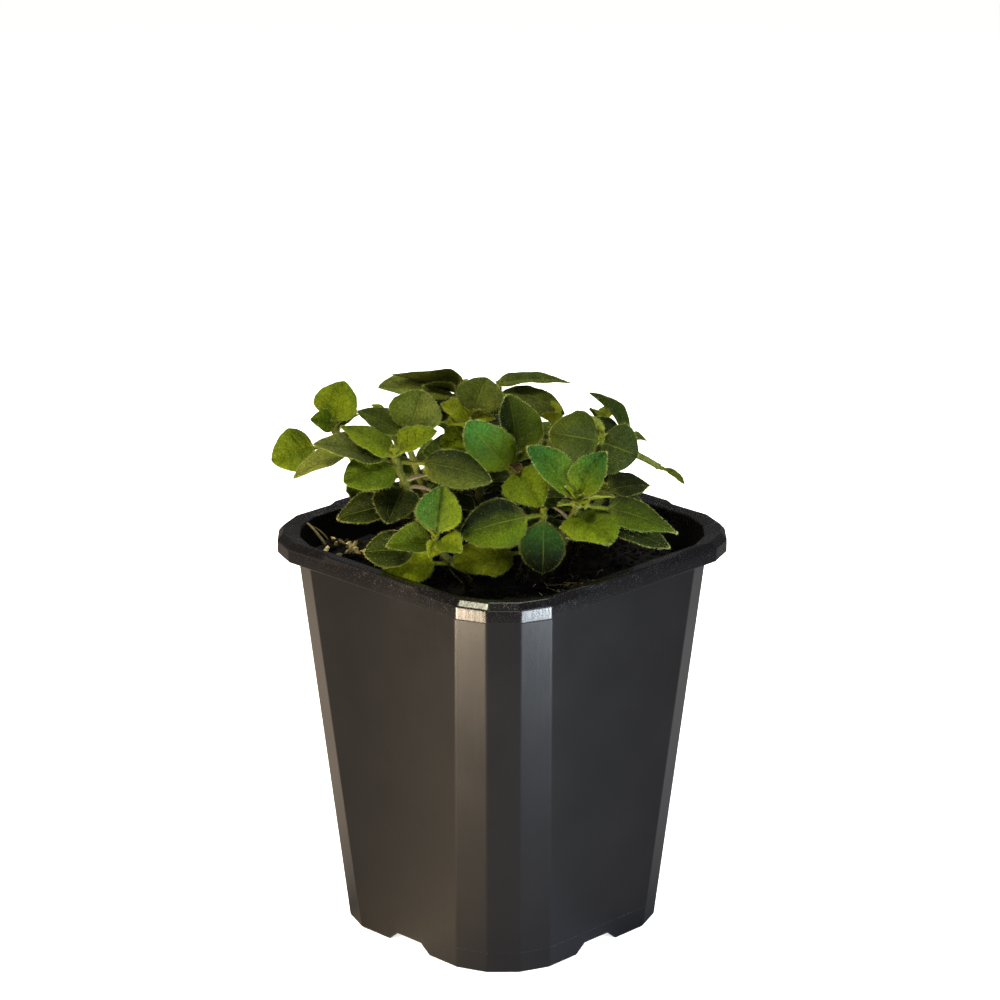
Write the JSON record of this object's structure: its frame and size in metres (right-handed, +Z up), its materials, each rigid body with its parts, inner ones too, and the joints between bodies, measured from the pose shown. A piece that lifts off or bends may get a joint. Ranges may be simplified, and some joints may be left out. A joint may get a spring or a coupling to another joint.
{
  "type": "potted oregano plant",
  "caption": "Young oregano plant with soft leafy stems and ovate hairy leaves, standing in potting mix in a square tapered black nursery pot.",
  "frame": {"origin": "middle of the pot's foot, on the surface that the pot stands on", "axes": "+Z up along the pot's axis; X and Y square to the pot's sides; the pot's front corner points to -X -Y"},
  "size_m": [0.1073, 0.1012, 0.1594],
  "materials": {
    "pot_plastic": "satin black moulded plastic with light dust",
    "potting_mix": "dark moist peat mix with bark and husks",
    "leaf": "soft green hairy leaf"
  },
  "bodies": {
    "root": {"pot": "pot_plastic", "potting_mix": "potting_mix", "front_left_stem": "leaf", "front_stem": "leaf", "right_front_stem": "leaf", "right_stem": "leaf", "centre_stem": "leaf", "crown_stem": "leaf", "top_stem": "leaf", "left_stem": "leaf", "left_back_stem": "leaf", "upper_left_stem": "leaf", "upper_right_stem": "leaf", "right_top_stem": "leaf", "back_top_stem": "leaf", "back_far_left_stem": "leaf", "back_left_stem": "leaf", "back_middle_stem": "leaf", "back_right_stem": "leaf", "back_inner_stem": "leaf"}
  },
  "joints": []
}
